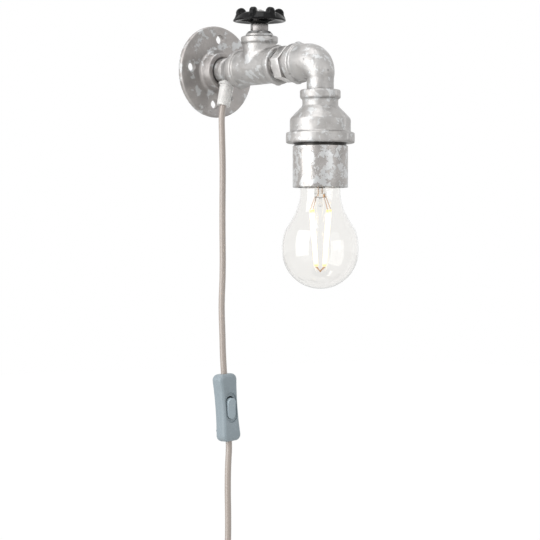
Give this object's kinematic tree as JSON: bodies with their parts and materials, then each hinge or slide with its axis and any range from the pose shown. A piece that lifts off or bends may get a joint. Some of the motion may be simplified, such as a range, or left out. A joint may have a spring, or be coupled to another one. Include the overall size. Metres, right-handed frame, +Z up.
{
  "type": "industrial pipe wall light",
  "caption": "Wall light of galvanised pipe fittings: round flange, tee with black handwheel, elbow, bell reducer, bare bulb and hanging cord with inline switch.",
  "frame": {"origin": "centre of the flange's back face on the wall, on the axis of its screw circle", "axes": "+Y points into the wall, the arm runs along -Y, +Z is up and the lamp hangs along -Z, +X is to the right as seen from the room"},
  "size_m": [0.0994, 0.1614, 0.6153],
  "materials": {
    "cast_zinc": "galvanised malleable casting, satin with fine sand grain",
    "bright_steel": "turned steel, fine drawn lines, satin bright",
    "spindle_steel": "plated, bright",
    "gland_brass": "plated brass, bright",
    "packing": "graphited packing, matte",
    "black_gloss": "thick black enamel, gloss",
    "holder_plastic": "moulded thermoset, satin",
    "brass": "stamped brass, bright",
    "cap_metal": "nickel plated, bright",
    "cap_insulator": "black vitrite, gloss",
    "lamp_glass": "clear blown glass",
    "filament": "phosphor coated filaments, lit",
    "lamp_wire": "fine support wire",
    "grip_clear": "clear moulded nylon",
    "cord_sheath": "smooth extruded plastic sheath, satin",
    "core_brown": "insulated core",
    "core_blue": "insulated core",
    "core_white": "insulated cores",
    "switch_grey": "moulded plastic, satin",
    "tie_dark": "soft strap",
    "plug_grey": "moulded plastic, satin",
    "pin_metal": "nickel plated brass, bright",
    "pin_sleeve": "insulating sleeve"
  },
  "bodies": {
    "arm": {"wall_flange": "cast_zinc", "tee_body": "cast_zinc", "street_elbow": "cast_zinc", "bell_reducer": "cast_zinc", "hex_nipple": "cast_zinc", "flange_nipple": "cast_zinc", "bonnet": "cast_zinc", "lamp_sleeve": "bright_steel", "mounting_disc": "bright_steel", "holder_nipple": "bright_steel", "holder_nut": "bright_steel", "cord_grip_screw": "spindle_steel", "switch_screws": "spindle_steel", "gland_nut": "gland_brass", "gland_packing": "packing", "holder_cap": "holder_plastic", "holder_body": "holder_plastic", "holder_shell": "brass", "holder_terminals": "brass", "centre_contact": "brass", "switch_terminals": "brass", "switch_contacts": "brass", "cord_grip": "grip_clear", "cord_entry": "cord_sheath", "cord_upper": "cord_sheath", "cord_lower": "cord_sheath", "cord_coil": "cord_sheath", "cord_tail": "cord_sheath", "lead_brown": "core_brown", "lead_blue": "core_blue", "switch_cores": "core_white", "switch_front": "switch_grey", "switch_back": "switch_grey", "coil_tie": "tie_dark", "plug_body": "plug_grey", "plug_pins": "pin_metal", "plug_pin_sleeves": "pin_sleeve"},
    "wheel": {"handwheel": "black_gloss", "valve_spindle": "spindle_steel", "wheel_washer": "spindle_steel", "wheel_nut": "spindle_steel"},
    "rocker": {"switch_rocker": "switch_grey"},
    "lamp_tip": {"bulb_contact": "cap_metal"},
    "lamp": {"bulb_cap": "cap_metal", "bulb_insulator": "cap_insulator", "bulb_glass": "lamp_glass", "bulb_stem": "lamp_glass", "bulb_filaments": "filament", "bulb_wires": "lamp_wire"}
  },
  "joints": [
    {"name": "wheel_turn", "type": "hinge", "parent": "arm", "child": "wheel", "pos_m": [0, -0.0579, 0.04], "axis": [0, 0, 1], "continuous": true},
    {"name": "rocker_tilt", "type": "hinge", "parent": "arm", "child": "rocker", "pos_m": [-0.0032, -0.0221, -0.2768], "axis": [0.9957, 0, 0.0924], "range_deg": [-16, 0]},
    {"name": "lamp_travel", "type": "slide", "parent": "arm", "child": "lamp_tip", "axis": [0, 0, -1], "range_m": [0, 0.01815]},
    {"name": "lamp_turn", "type": "hinge", "parent": "lamp_tip", "child": "lamp", "pos_m": [0, -0.1313, -0.09], "axis": [0, 0, -1], "range_deg": [0, 1800]}
  ],
  "couplings": [
    {"joint": "lamp_travel", "follows": "lamp_turn", "m_per_rad": 0.00057757}
  ]
}
